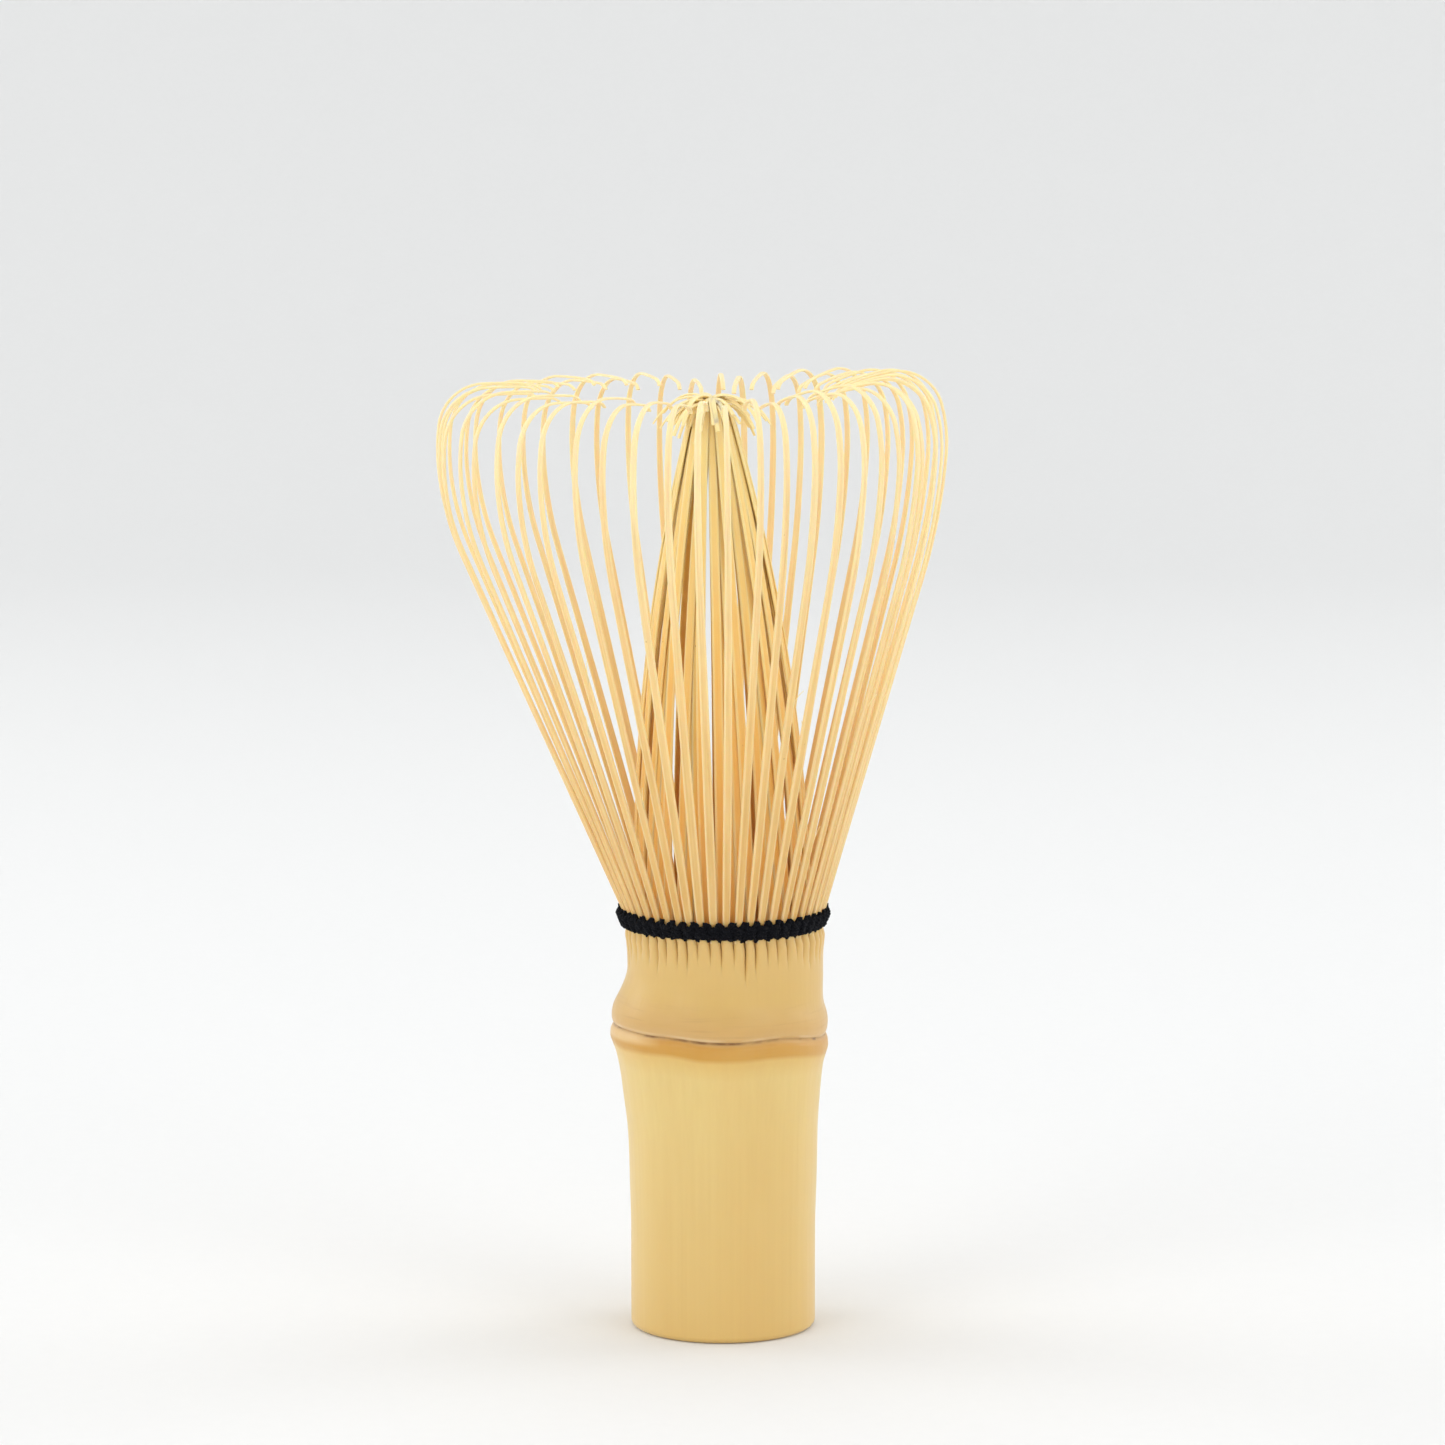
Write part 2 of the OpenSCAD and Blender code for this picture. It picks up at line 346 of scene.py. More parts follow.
def make_handle(skin, end_grain, inside):
    """The handle from its foot to the node's groove, round its smooth bore."""
    heights = steps(FOOT_EDGE, 33, 0.6) + steps(33, 36, 0.15) + steps(36, GROOVE_Z, 0.05) + [GROOVE_Z]
    outside = foot_edge() + [(curve(HANDLE_SKIN, z), z) for z in heights]
    seat_r = SEPTUM_BOX[1].x / MM
    seat = [(seat_r, GROOVE_Z), (seat_r, HANDLE_TOP), (HOLLOW_R, HANDLE_TOP)]
    bore = [(HOLLOW_R, z) for z in reversed(steps(BORE_EDGE, HANDLE_TOP, 1.5))]
    mouth = [(HOLLOW_R + BORE_EDGE * 0.3, BORE_EDGE * 0.3), (HOLLOW_R + BORE_EDGE, 0)]
    cut = [(lerp((HOLLOW_R + BORE_EDGE, outside[0][0]), t), 0) for t in (0.25, 0.5, 0.75)]
    outline = outside + seat + bore + mouth + cut
    skinned = len(outside) - 1
    within = len(seat) + len(bore)
    slots = [0] * skinned + [2] * within + [1] * (len(outline) - skinned - within)
    shape = Shape()
    lathe(shape, outline, 180, slots)
    piece = shape.build("bamboo_handle", [skin, end_grain, inside])
    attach(piece, "base")
    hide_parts("handle", "node_ring")


def make_septum(inside):
    """The papery wall that closes the bore inside the node."""
    low = SEPTUM_BOX[0].z / MM
    high = SEPTUM_BOX[1].z / MM
    radius = SEPTUM_BOX[1].x / MM
    shares = (0, 0.2, 0.4, 0.6, 0.8, 0.92, 1)
    under = [(radius * t, low + SEPTUM_DISH * (1 - t * t)) for t in shares]
    over = [(radius * t, high - SEPTUM_DISH * (1 - t * t) * 0.6) for t in reversed(shares)]
    shape = Shape()
    lathe(shape, under + over, 90)
    piece = shape.build("bamboo_septum", [inside])
    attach(piece, "base")
    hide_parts("septum")


def slit_angle(s):
    """Azimuth of slit s, on the near side of tine s. The knife never lands quite evenly."""
    wobble = 0.05 * PITCH * math.sin(s * 2.4) + 0.03 * PITCH * math.sin(s * 5.1 + 1)
    return SPLIT_PHASE - math.radians(180 / STAVES) + s * PITCH + wobble


def slit_foot(s):
    """Height at which slit s runs out, higher and lower by turns."""
    uneven_by = 0.5 * math.sin(s * 2.1 + 0.7) + 0.4 * math.sin(s * 0.83)
    return SLIT_FOOT + uneven_by - (LONG_SLIT if s % 13 == 4 else 0)


def slit_half_width(s, height):
    """Half of a slit's width: nothing at its foot, then opening as the fingers turn outwards."""
    opening = (height - slit_foot(s)) / (ROOT_TOP - slit_foot(s))
    return SLIT_HALF_WIDTH * max(0, opening) ** 2.4


def finger_point(tine, share, height, inner):
    """A point on a root finger's outer or inner face, at a share of its width from -1 to 1."""
    left = slit_angle(tine)
    right = slit_angle(tine + 1)
    radius = curve(HEAD_INSIDE if inner else HEAD_SKIN, height)
    edge_left = left + slit_half_width(tine, height) / radius
    edge_right = right - slit_half_width(tine + 1, height) / radius
    angle = lerp((edge_left, edge_right), (share + 1) / 2)
    nearer = tine if share < 0 else tine + 1
    open_now = smoothstep(slit_foot(nearer) - 1.2, slit_foot(nearer) + 2.5, height)
    if not inner:
        pressed = smoothstep(FINGER_TOP - 1.4, FINGER_TOP - 0.2, height)
        radius -= FINGER_ROUND * open_now * abs(share) ** 3 + 1.5 * PINCH * pressed
    return culm_point(radius, angle, height), (angle * radius, height, tine)


def make_head(skin, inside):
    """The node's upper ridge and the collar, split into a comb of root fingers."""
    shape = Shape()
    low_rows = steps(GROOVE_Z, 37.3, 0.05) + steps(37.3, 42, 0.25)
    heights = low_rows + steps(42, FINGER_TOP, 0.2) + [FINGER_TOP]
    known = {}

    def corner(tine, row, column, inner):
        """The vertex at a place of the comb, shared by both fingers while the slit between them is shut."""
        share = FINGER_COLUMNS[column]
        side = tine if share == -1 else (tine + 1 if share == 1 else None)
        key = (tine % TINES, row, column, inner)
        if side is not None and slit_half_width(side % TINES, heights[row]) == 0:
            key = ("slit", side % TINES, row, inner)
        if key not in known:
            point, grain = finger_point(tine, share, heights[row], inner)
            known[key] = shape.vertex(point, grain)
        return known[key]

    last = len(heights) - 1
    columns = range(len(FINGER_COLUMNS) - 1)
    for tine in range(TINES):
        for row in range(last):
            for c in columns:
                for inner in (False, True):
                    corners = [corner(tine, row, c, inner), corner(tine, row, c + 1, inner)]
                    corners += [corner(tine, row + 1, c + 1, inner), corner(tine, row + 1, c, inner)]
                    shape.face(corners, 1 if inner else 0)
            for c, side in ((0, tine), (len(FINGER_COLUMNS) - 1, tine + 1)):
                if slit_half_width(side % TINES, heights[row + 1]) > 0:
                    wall = [corner(tine, row, c, False), corner(tine, row + 1, c, False)]
                    wall += [corner(tine, row + 1, c, True), corner(tine, row, c, True)]
                    shape.face(wall, 1)
        for c in columns:
            for row in (0, last):
                ends = [corner(tine, row, c, False), corner(tine, row, c + 1, False)]
                ends += [corner(tine, row, c + 1, True), corner(tine, row, c, True)]
                shape.face(ends, 1)
    piece = shape.build("bamboo_collar", [skin, inside], 50)
    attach(piece, "base")
    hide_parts("collar", "outer_tine_roots", "inner_tine_roots")


# ---------------------------------------------------------------- tines

# A tine's section, (across, outwards, share of pared edge and painted highlight): flat skin side, pared
# edges, the -across one paler as a painted highlight, and a narrower back
TINE_SECTION = [
    (-0.8, -1, 0.4), (-1, -0.6, 0.6), (-1, 0.2, 1), (-0.86, 0.66, 1), (-0.6, 0.94, 0.8), (-0.44, 1.02, 0),
    (0, 1.12, 0), (0.52, 1, 0), (0.86, 0.66, 0.8), (1, 0.2, 0.8), (1, -0.6, 0.5), (0.8, -1, 0.4),
]


def walk(start, heading, arcs):
    """Points (radius, height, heading) of a line that starts at start and turns towards the axis."""
    radius, height = start
    line = [(radius, height, heading)]
    for length, turn, count in arcs:
        for _ in range(count):
            middle = math.radians(heading - turn / count / 2)
            radius += length / count * math.sin(middle)
            height += length / count * math.cos(middle)
            heading -= turn / count
            line.append((radius, height, heading))
    return line


def walk_back(start, heading, arcs):
    """The same, down from start into the collar: each arc's turn is towards upright."""
    line = walk((-start[0], -start[1]), heading, arcs)
    return [(-radius, -height, turned) for radius, height, turned in reversed(line)]


def sweep(shape, middle, outward, widths, thicknesses, number, along_start=0):
    """Sweeps the tine's section along its middle line, with a rough outward direction at each point."""
    count = len(middle)
    rings = []
    along = along_start
    for i in range(count):
        ahead = middle[min(i + 1, count - 1)] - middle[max(i - 1, 0)]
        ahead.normalize()
        across = ahead.cross(outward[i]).normalized()
        out = across.cross(ahead).normalized()
        if i:
            along += (middle[i] - middle[i - 1]).length
        ring = []
        for u, v, bare_and_highlight in TINE_SECTION:
            offset = across * (u * widths[i] / 2) + out * (v * thicknesses[i] / 2)
            ring.append(shape.vertex(middle[i] + offset, (u * widths[i] / 2 + v * 0.2, along, number), bare_and_highlight))
        rings.append(ring)
    shape.tube(rings)


def bent_line(line, azimuth, sideways, tilt_x=0):
    """Turns a line of (radius, height, heading) into points and outward directions in space."""
    middle = []
    outward = []
    radial = Vector((math.cos(azimuth), math.sin(azimuth), 0))
    for k, (radius, height, heading) in enumerate(line):
        swing = sideways(k / (len(line) - 1))
        x = radius * radial.x - swing * radial.y
        y = radius * radial.y + swing * radial.x
        middle.append(Vector((x - tilt_x * max(0, height - OUTER_FOOT[1]), y, height)))
        lean = math.radians(heading)
        outward.append(radial * math.cos(lean) - Vector((0, 0, 1)) * math.sin(lean))
    return middle, outward


def tine_azimuth(n):
    """Azimuth of tine n, half way between its two slits."""
    return (slit_angle(n) + slit_angle(n + 1)) / 2


def add_sliver(shape, middle, outward, widths, number):
    """A hair of bamboo that the knife lifted from the edge of a tine."""
    i = DICE.randrange(8, 24)
    side = DICE.choice((-1, 1))
    reach = DICE.uniform(1.5, 3.5)
    bend = DICE.uniform(0.3, 1.0)
    ahead = (middle[i + 1] - middle[i]).normalized()
    across = ahead.cross(outward[i]).normalized() * side
    start = middle[i] + across * (widths[i] / 2 - 0.04)
    hair = []
    for k in range(9):
        t = k / 8
        hair.append(start + ahead * (reach * t) + (across * bend + outward[i] * 0.3) * (t * t))
    widths = [0.15 - 0.012 * k for k in range(9)]
    sweep(shape, hair, [outward[i]] * 9, widths, [0.07] * 9, number, SLIVER_ALONG)


def build_stave(shape, joint, material, sharp_angle):
    """Makes the piece of a stave's tines, named after the stave's joint, and hides the CAD tines it stands
    for.
    """
    name = joint["child"].replace("stave", "tines")
    piece = shape.build(name + "_bamboo", [material], sharp_angle)
    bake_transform(piece)
    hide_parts(name)


def outer_line(n):
    """Middle line of outer tine n, as (radius, height, heading)."""
    cad_azimuth = (n - 1.5) * PITCH
    side = math.cos(cad_azimuth)
    heading = SPLAY - OUTER_LEAN * side + SPLAY_SPREAD * uneven(n, 19)
    length = STRAIGHT + LENGTH_LEAN * side + LENGTH_SWELL * side ** 2 + LENGTH_SPREAD * uneven(n, 23)
    curl = []
    for low, high in zip(CURL_LOW_SIDE, CURL_HIGH_SIDE):
        reach, turn = [lerp((low[k], high[k]), (side + 1) / 2) for k in (0, 1)]
        curl.append((reach, turn, low[2]))
    foot = (OUTER_FOOT[0] - PINCH, OUTER_FOOT[1])
    root = walk_back(foot, heading, [(OUTER_ROOT, heading - 7, 6)])
    return root[:-1] + walk(foot, heading, [(length, 0, 24)] + curl)


def make_outer_tines(stave, joint, material):
    """The thick tines of one stave, from under the thread to their hooked tips."""
    shape = Shape()
    for i in range(TINES_PER_STAVE):
        n = stave * TINES_PER_STAVE + i
        line = outer_line(n)
        sway = DICE.uniform(-0.7, 0.7)
        ripple = DICE.uniform(-0.12, 0.12)
        beat = DICE.uniform(0.8, 1.6)

        def sideways(t):
            return sway * t * t + ripple * math.sin(math.tau * beat * t)

        middle, outward = bent_line(line, tine_azimuth(n), sideways)
        shares = [k / (len(line) - 1) for k in range(len(line))]
        broad = DICE.uniform(0.93, 1.07)
        widths = [broad * curve(OUTER_W, t) for t in shares]
        thicknesses = [lerp(OUTER_T, t) for t in shares]
        sweep(shape, middle, outward, widths, thicknesses, n)
        if DICE.random() < SLIVER_SHARE:
            add_sliver(shape, middle, outward, widths, n)
    build_stave(shape, joint, material, 25)


def inner_line(layer):
    """Middle line of an inner tine of a layer, as (radius, height, heading), with a curl of its own."""
    top_r, rise, bow = INNER_LAYERS[layer]
    bow += DICE.uniform(-0.6, 0.6)
    across = INNER_FOOT[0] - top_r
    lean_in = math.degrees(math.atan(across / rise))
    arc = math.hypot(across, rise) * math.radians(bow) / math.sin(math.radians(bow))
    curl = DICE.uniform(105, 135)
    radius = DICE.uniform(2.9, 4.8)
    droop = DICE.uniform(1.2, 3.6)
    climb = INNER_APEX - DICE.uniform(0, 1.3) - radius * (1 - math.sin(math.radians(lean_in + bow)))
    arc *= climb / rise
    arcs = [(arc, 2 * bow * climb / rise, 26), (radius * math.radians(curl), curl, 12), (droop, 16, 3)]
    root = walk_back(INNER_FOOT, bow - lean_in, [(INNER_ROOT, 6, 6)])
    return root[:-1] + walk(INNER_FOOT, bow - lean_in, arcs)


def make_inner_tines(stave, joint, material):
    """The thin tines of one stave, which gather in a cone and curl over each other at its top."""
    shape = Shape()
    lean = math.tan(math.radians(INNER_LEAN))
    for i in range(TINES_PER_STAVE):
        n = stave * TINES_PER_STAVE + i
        line = inner_line(i)
        gather = (1.5 - i) * (GATHER + GATHER_SPREAD * math.sin(stave * 2.3))
        sway = DICE.uniform(-0.9, 0.9)

        def sideways(t):
            return gather * math.sin(math.pi * min(1, t * 1.25)) * 2.2 + sway * t ** 6

        azimuth = tine_azimuth(n) + PITCH / 2
        middle, outward = bent_line(line, azimuth, sideways, lean)
        shares = [k / (len(line) - 1) for k in range(len(line))]
        widths = [curve(INNER_W, t) for t in shares]
        thicknesses = [lerp(INNER_T, t) for t in shares]
        sweep(shape, middle, outward, widths, thicknesses, n + TINES)
    build_stave(shape, joint, material, 40)


# ---------------------------------------------------------------- thread

# Pulled tight, the rounds lie closer together and a little lower than their CAD rings
TURN_PITCH = 0.36
BAND_DROP = 0.27
# How far each round, from the lowest, rises or dips between two tines, and how far it is pressed in there
TURN_RISES = (-0.14, 0.05, 0.3, 0.56)
GAP_DEPTH = 0.36
# A strand's plies: radius where they lie loose and in the band, distance from the strand's middle, and the
# length of one twist
PLY_R = 0.19
BAND_PLY_R = 0.25
PLY_OFFSET = 0.12
TWIST_LENGTH = 1.5
PLY_SIDES = 7
# A stitch's foot under the band's top, and its distance from the axis at its foot and its top
STITCH_DROP = 1.9
STITCH_R = (11.8, 12.5)
# Scale of the knot's trefoil, which is some five times as wide
KNOT_SCALE = 0.16


def ply_tube(shape, middle, number, closed, phase, ply_r):
    """One ply wound round a strand's middle line."""
    count = len(middle)
    rings = []
    along = 0
    total = sum((middle[(i + 1) % count] - middle[i]).length for i in range(count if closed else count - 1))
    turns = max(1, round(total / TWIST_LENGTH))
    for i in range(count):
        before = middle[i - 1] if closed or i else middle[0]
        after = middle[(i + 1) % count] if closed or i < count - 1 else middle[i]
        ahead = (after - before).normalized()
        out = Vector((middle[i].x, middle[i].y, 0))
        out = (out - ahead * out.dot(ahead)).normalized()
        up = ahead.cross(out)
        if i:
            along += (middle[i] - middle[i - 1]).length
        twist = phase + math.tau * turns * along / total
        centre = middle[i] + (out * math.cos(twist) + up * math.sin(twist)) * PLY_OFFSET
        ring = []
        for k in range(PLY_SIDES):
            angle = math.tau * k / PLY_SIDES
            point = centre + (out * math.cos(angle) + up * math.sin(angle)) * ply_r
            ring.append(shape.vertex(point, (angle * ply_r, along, number)))
        rings.append(ring)
    shape.tube(rings, closed=closed)


def strand(shape, middle, number, closed=False, ply_r=PLY_R):
    """A strand of two plies."""
    for ply in range(2):
        ply_tube(shape, middle, number + ply, closed, math.pi * ply + number, ply_r)


def over_tines(angle):
    """One in front of each tine, falling to minus one in the middle of each gap."""
    place = (angle - SPLIT_PHASE) / PITCH
    onto_tine = (1 - math.cos(math.tau * place)) / 2
    return 1 - 2 * (1 - onto_tine) ** 2


def make_turn(turn, material):
    """One outside round of thread, pressed into the gaps between the tines."""
    name = f"thread_turn_{turn}"
    low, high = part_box(name)
    top_low, top_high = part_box("thread_turn_4")
    height = (top_low.z + top_high.z) / 2 / MM - BAND_DROP - (4 - turn) * TURN_PITCH
    radius = high.x / MM - (high.z - low.z) / 2 / MM - PINCH
    samples = TINES * 12
    middle = []
    for k in range(samples):
        angle = math.tau * k / samples
        gap = (1 - over_tines(angle)) / 2
        here = radius - GAP_DEPTH * gap + 0.03 * math.sin(5 * angle + turn)
        z = height + TURN_RISES[turn - 1] * gap + 0.04 * math.sin(3 * angle + turn)
        middle.append(Vector((here * math.cos(angle), here * math.sin(angle), z)))
    shape = Shape()
    strand(shape, middle, turn, closed=True, ply_r=BAND_PLY_R)
    piece = shape.build(name + "_cotton", [material])
    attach(piece, "base")
    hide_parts(name)


def make_stitches(material):
    """The thread's short climbs in the gaps between the tines."""
    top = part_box("thread_turn_4")[1]
    shape = Shape()
    for n in range(TINES):
        # A hair beside the middle of its gap
        angle = SPLIT_PHASE + (n - 2 + 1e-3) * PITCH
        low = top.z / MM - STITCH_DROP - DICE.uniform(0.05, 0.3)
        high = top.z / MM + DICE.uniform(0.1, 0.3)
        middle = []
        for k in range(9):
            t = k / 8
            z = lerp((low, high), t)
            radius = lerp(STITCH_R, t) + 0.3 * math.sin(math.pi * t) ** 0.5
            turned = angle + 0.02 * math.sin(math.pi * t + n)
            middle.append(Vector((radius * math.cos(turned), radius * math.sin(turned), z)))
        strand(shape, middle, n, ply_r=BAND_PLY_R)
    piece = shape.build("thread_stitches_cotton", [material])
    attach(piece, "base")


def make_weave(material):
    """The rounds of thread between the outer and the inner roots."""
    for turn in (1, 2):
        name = f"thread_weave_{turn}"
        low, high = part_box(name)
        height = (low.z + high.z) / 2 / MM
        radius = high.x / MM - (high.z - low.z) / 2 / MM
        samples = TINES * 8
        middle = []
        for k in range(samples):
            angle = math.tau * k / samples
            here = radius + 0.06 * over_tines(angle)
            middle.append(Vector((here * math.cos(angle), here * math.sin(angle), height)))
        shape = Shape()
        strand(shape, middle, 10 + turn, closed=True)
        piece = shape.build(name + "_cotton", [material])
        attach(piece, "base")
        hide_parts(name)


def make_knot(material):
    """The overhand knot at the back, with its two cut ends."""
    low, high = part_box("thread_knot")
    centre = Vector(((low.x + high.x) / 2, (low.y + high.y) / 2, (low.z + high.z) / 2)) / MM
    loop = []
    for k in range(61):
        t = math.tau * (0.08 + 0.84 * k / 60)
        x = math.sin(t) + 2 * math.sin(2 * t)
        z = math.cos(t) - 2 * math.cos(2 * t)
        loop.append(centre + Vector((x, -math.sin(3 * t), z)) * KNOT_SCALE)
    shape = Shape()
    strand(shape, loop, 21)
    for side in (-1, 1):
        end = []
        for k in range(9):
            t = k / 8
            angle = math.pi / 2 + side * (0.02 + 0.1 * t)
            radius = centre.y - 0.1 * t
            end.append(Vector((radius * math.cos(angle), radius * math.sin(angle), centre.z + 0.25 * t)))
        strand(shape, end, 23 + side)
    piece = shape.build("thread_knot_cotton", [material])
    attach(piece, "base")
    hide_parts("thread_knot")


# ---------------------------------------------------------------- materials

def srgb(red, green, blue):
    """A colour from its eight-bit screen values."""
    def linear(value):
        value /= 255
        return value / 12.92 if value <= 0.04045 else ((value + 0.055) / 1.055) ** 2.4
    return (linear(red), linear(green), linear(blue), 1)


class Nodes:
    """A material's node tree, with short calls for the nodes used here."""

    def __init__(self, name):
        self.material = bpy.data.materials.new(name)
        self.material.use_nodes = True
        self.tree = self.material.node_tree
        self.tree.nodes.clear()

    def add(self, kind, sockets=None, **settings):
        """Adds a node. A socket is given a number, a colour or another node's output."""
        node = self.tree.nodes.new("ShaderNode" + kind)
        for key, value in settings.items():
            setattr(node, key, value)
        for key, value in (sockets or {}).items():
            if isinstance(value, bpy.types.NodeSocket):
                self.tree.links.new(value, node.inputs[key])
            else:
                node.inputs[key].default_value = value
        return node

    def sum(self, operation, a, b=0.0, c=0.0):
        return self.add("Math", {0: a, 1: b, 2: c}, operation=operation).outputs[0]

    def mix(self, factor, a, b):
        """The colour a, turning to b as the factor rises."""
        return self.add("Mix", {0: factor, 6: a, 7: b}, data_type="RGBA").outputs[2]

    def ramp(self, factor, stops):
        """A colour ramp through (place, value) stops, where a value is a colour or a grey level."""
        node = self.add("ValToRGB", {"Fac": factor})
        points = node.color_ramp.elements
        while len(points) < len(stops):
            points.new(0.5)
        for point, (place, value) in zip(points, stops):
            point.position = place
            point.color = value if isinstance(value, tuple) else (value, value, value, 1)
        return node.outputs["Color"]

    def noise(self, vector, scale, detail=3.0, roughness=0.5):
        """Noise over a vector that is stretched by scale, a number or three."""
        stretch = scale if isinstance(scale, tuple) else (scale, scale, scale)
        place = self.add("Mapping", {"Vector": vector, "Scale": stretch}).outputs[0]
        sockets = {"Vector": place, "Scale": 1.0, "Detail": detail, "Roughness": roughness}
        return self.add("TexNoise", sockets).outputs[0]

    def bump(self, height, distance, strength=1.0, normal=None):
        """The normal of a relief, laid over another relief's normal if one is given."""
        sockets = {"Height": height, "Distance": distance, "Strength": strength}
        if normal is not None:
            sockets["Normal"] = normal
        return self.add("Bump", sockets).outputs[0]

    def finish(self, **sockets):
        """Ends in one shader. Names are the shader's sockets with _ for spaces."""
        named = {key.replace("_", " "): value for key, value in sockets.items()}
        shader = self.add("BsdfPrincipled", named)
        self.add("OutputMaterial", {"Surface": shader.outputs[0]})
        return self.material


def specks(nodes, place, cell, size, share):
    """Sparse small spots, as a mask: one in a share of the cells."""
    scaled = nodes.add("Mapping", {"Vector": place, "Scale": (1 / cell, 1 / cell, 0.7 / cell)}).outputs[0]
    cells = nodes.add("TexVoronoi", {"Vector": scaled, "Scale": 1.0})
    spot = nodes.ramp(cells.outputs["Distance"], [(0.0, 1.0), (size, 0.0)])
    red = nodes.add("SeparateColor", {0: cells.outputs["Color"]}).outputs[0]
    chosen = nodes.sum("LESS_THAN", red, share)
    return nodes.sum("MULTIPLY", spot, chosen)


# Height of the skin over which its tints are set, in the grain's millimetres
SKIN_SPAN = 52.0
# Height over which the tines' tints are set, in metres
TINE_SPAN = (0.044, 0.117)
# Length over which a tine dries towards its tip, in millimetres
DRY_LENGTH = 7
# Distances from the axis over which the end grain grows dark, in metres
WALL_SPAN = (0.0072, 0.0112)


def painted_highlights(n, tint, place, height, share):
    """The skin's tint with a painted highlight under the groove on the -X side, and a thin painted highlight
    line over the groove.
    """
    side = n.add("SeparateXYZ", {0: place}).outputs["X"]
    # Painted highlight: paler under the groove on the -X side, where the key light falls
    left_highlight_mask = n.add("MapRange", {0: side, 1: -0.0075, 2: -0.0105, 3: 0.0, 4: 0.8}).outputs[0]
    left_highlight_mask = n.sum("MULTIPLY", left_highlight_mask, n.ramp(share, [(0.682, 0.0), (0.692, 1.0), (0.706, 1.0), (0.71, 0.0)]))
    tint = n.mix(left_highlight_mask, tint, srgb(229, 194, 136))
    # Painted highlight: a thin pale line along the ridge just above the groove
    lip_highlight_mask = n.ramp(n.sum("SUBTRACT", height, GROOVE_Z), [(0.12, 0.0), (0.22, 1.0), (0.38, 1.0), (0.6, 0.0)])
    lip_highlight_mask = n.sum("MULTIPLY", lip_highlight_mask, n.ramp(n.noise(place, 160.0, 2.0), [(0.4, 0.0), (0.6, 0.6)]))
    return n.mix(lip_highlight_mask, tint, srgb(232, 204, 160))


def groove_marks(n, tint, place, height):
    """The skin's tint darkened in a broken line along the groove, with darker spots."""
    off_groove = n.sum("ABSOLUTE", n.sum("SUBTRACT", height, GROOVE_Z))
    line = n.ramp(off_groove, [(0.06, 1.0), (0.24, 0.0)])
    broken = n.noise(place, 420.0, 2.0)
    broken = n.ramp(broken, [(0.42, 0.15), (0.62, 0.9)])
    tint = n.mix(n.sum("MULTIPLY", line, broken), tint, srgb(138, 98, 62))
    spots = n.sum("MULTIPLY", specks(n, place, 0.0021, 0.16, 0.3), line)
    return n.mix(spots, tint, srgb(45, 30, 22))


def bamboo_skin():
    """The culm's polished skin, tinted by height, with its node line, specks and faint fibres."""
    n = Nodes("bamboo_skin")
    place = n.add("TexCoord").outputs["Object"]
    grain = n.add("Attribute", attribute_name="grain").outputs["Vector"]
    height = n.add("SeparateXYZ", {0: grain}).outputs["Y"]
    wave = n.noise(place, 110.0, 2.0)
    level = n.sum("MULTIPLY_ADD", n.sum("SUBTRACT", wave, 0.5), 0.9, height)
    share = n.sum("DIVIDE", level, SKIN_SPAN)
    tint = n.ramp(share, [
        (0.0, srgb(226, 192, 119)), (0.3, srgb(229, 200, 130)), (0.62, srgb(231, 204, 133)),
        (0.66, srgb(228, 192, 114)), (0.672, srgb(208, 154, 62)), (0.7, srgb(205, 150, 62)),
        (0.708, srgb(211, 173, 118)), (0.735, srgb(210, 169, 104)), (0.8, srgb(218, 182, 108)),
        (0.88, srgb(221, 186, 115)), (1.0, srgb(225, 187, 117)),
    ])
    blotch = n.noise(place, (55.0, 55.0, 22.0), 3.0)
    tint = n.mix(n.ramp(blotch, [(0.35, 0.0), (0.7, 0.5)]), tint, srgb(221, 179, 103))
    fibre = n.noise(place, (1500.0, 1500.0, 14.0), 3.0, 0.6)
    tint = n.mix(n.ramp(fibre, [(0.3, 0.0), (0.75, 0.13)]), tint, srgb(206, 164, 96))
    # Painted highlights under the groove on the -X side and along the ridge above it
    tint = painted_highlights(n, tint, place, height, share)
    tint = groove_marks(n, tint, place, height)
    # Fine level wrinkles where the sheath grew, just above the groove: relief, and a darker tint in them
    # that is painted shade
    crease_and_shade = n.ramp(n.noise(place, (150.0, 150.0, 2200.0), 2.0), [(0.56, 0.0), (0.7, 1.0)])
    crease_and_shade = n.sum("MULTIPLY", crease_and_shade, n.ramp(share, [(0.705, 0.0), (0.72, 1.0), (0.765, 0.8), (0.8, 0.0)]))
    # Painted shade: the wrinkles' dips are tinted darker
    tint = n.mix(n.sum("MULTIPLY", crease_and_shade, 0.22), tint, srgb(182, 140, 84))
    few = specks(n, place, 0.0052, 0.035, 0.16)
    tint = n.mix(n.sum("MULTIPLY", few, 0.75), tint, srgb(150, 108, 62))
    rough = n.ramp(n.noise(place, (600.0, 600.0, 40.0), 3.0), [(0.3, 0.36), (0.7, 0.5)])
    relief = n.bump(fibre, 0.00002)
    relief = n.bump(n.noise(place, 240.0, 3.0), 0.00006, 0.6, relief)
    relief = n.bump(n.sum("SUBTRACT", 1.0, crease_and_shade), 0.00002, 0.5, relief)
    return n.finish(
        Base_Color=tint, Roughness=rough, Normal=relief, Specular_IOR_Level=0.45,
        Subsurface_Weight=0.2, Subsurface_Radius=(0.0005, 0.0003, 0.0001), Subsurface_Scale=1.0,
        Sheen_Weight=0.3, Sheen_Roughness=0.4, Sheen_Tint=srgb(255, 246, 228),
    )


